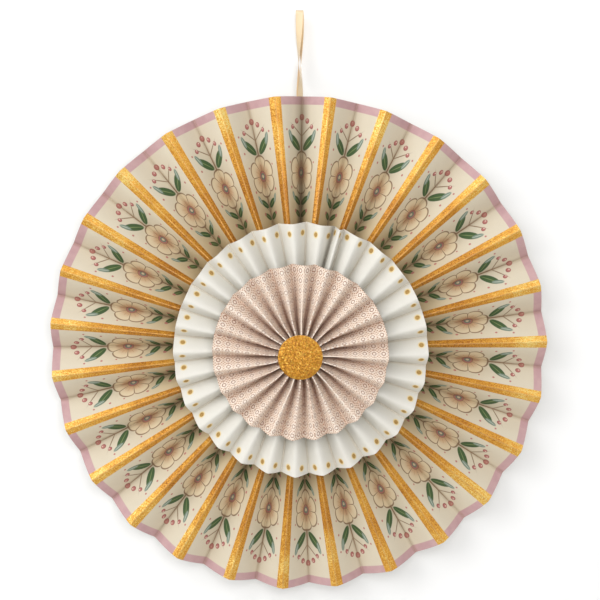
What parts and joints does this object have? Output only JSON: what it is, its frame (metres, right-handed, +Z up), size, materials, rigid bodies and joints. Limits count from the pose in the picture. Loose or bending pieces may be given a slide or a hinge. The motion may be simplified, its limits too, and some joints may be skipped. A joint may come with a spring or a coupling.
{
  "type": "paper fan rosette",
  "caption": "Round paper fan rosette of stacked pleated rings in falling sizes with a glitter disc at its centre, hung on a wall by a ribbon loop as decoration.",
  "frame": {"origin": "centre of the backing disc's rear face, the part that lies nearest the wall", "axes": "+Z up as it hangs, +Y towards the wall along the rosette's axis, the printed front faces -Y, +X to the right as seen from the front"},
  "size_m": [0.4, 0.0638, 0.4681],
  "materials": {
    "printed_paper": "matte",
    "white_paper": "matte",
    "lattice_paper": "matte",
    "glitter_card": "satin",
    "grey_card": "matte",
    "ribbon_satin": "satin"
  },
  "bodies": {
    "root": {"backing_disc": "grey_card", "outer_fan": "printed_paper", "rear_joining_disc": "grey_card", "middle_fan": "white_paper", "front_joining_disc": "grey_card", "inner_fan": "lattice_paper", "centre_disc": "glitter_card", "hanging_ribbon": "ribbon_satin"}
  },
  "joints": []
}
